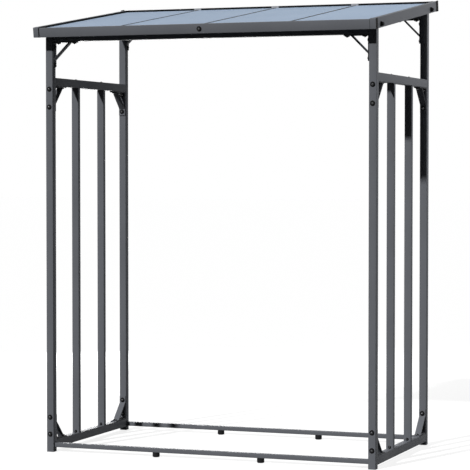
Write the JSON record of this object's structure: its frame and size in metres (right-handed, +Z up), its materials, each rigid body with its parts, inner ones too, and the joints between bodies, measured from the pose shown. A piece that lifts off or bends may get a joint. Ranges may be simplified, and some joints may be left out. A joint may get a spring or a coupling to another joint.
{
  "type": "log store",
  "caption": "Free-standing open log store: steel tube frame with slatted ends, corner braces, an open front and back, and a sheet lean-to roof that rises to the back.",
  "frame": {"origin": "middle of the bounding box in plan, on the ground under the posts", "axes": "+X across the width to the right as seen from the open front, +Y to the back and the high side of the roof, +Z up"},
  "size_m": [1.43, 0.9092, 1.8489],
  "materials": {
    "coat": "satin anthracite powder coat",
    "sheet": "satin pale blue-grey coated sheet",
    "foot": "matt black",
    "bolt": "satin black"
  },
  "bodies": {
    "root": {"post_fl": "coat", "post_fr": "coat", "post_rl": "coat", "post_rr": "coat", "top_rail_l": "coat", "top_rail_r": "coat", "bottom_rail_l": "coat", "bottom_rail_r": "coat", "slat_l1": "coat", "slat_l2": "coat", "slat_r1": "coat", "slat_r2": "coat", "base_rail_f": "coat", "base_rail_r": "coat", "header_f": "coat", "header_r": "coat", "bracket_fl": "coat", "bracket_fr": "coat", "bracket_rl": "coat", "bracket_rr": "coat", "brace_tfl": "coat", "brace_trl": "coat", "brace_tfr": "coat", "brace_trr": "coat", "brace_bfl": "coat", "brace_brl": "coat", "brace_bfr": "coat", "brace_brr": "coat", "edge_f": "coat", "edge_b": "coat", "edge_l": "coat", "edge_r": "coat", "corner_fl": "coat", "corner_fr": "coat", "corner_bl": "coat", "corner_br": "coat", "joint_1": "coat", "joint_2": "coat", "joint_3": "coat", "foot_fl": "foot", "foot_fr": "foot", "foot_rl": "foot", "foot_rr": "foot", "sheet_1": "sheet", "sheet_2": "sheet", "sheet_3": "sheet", "sheet_4": "sheet"}
  },
  "joints": []
}
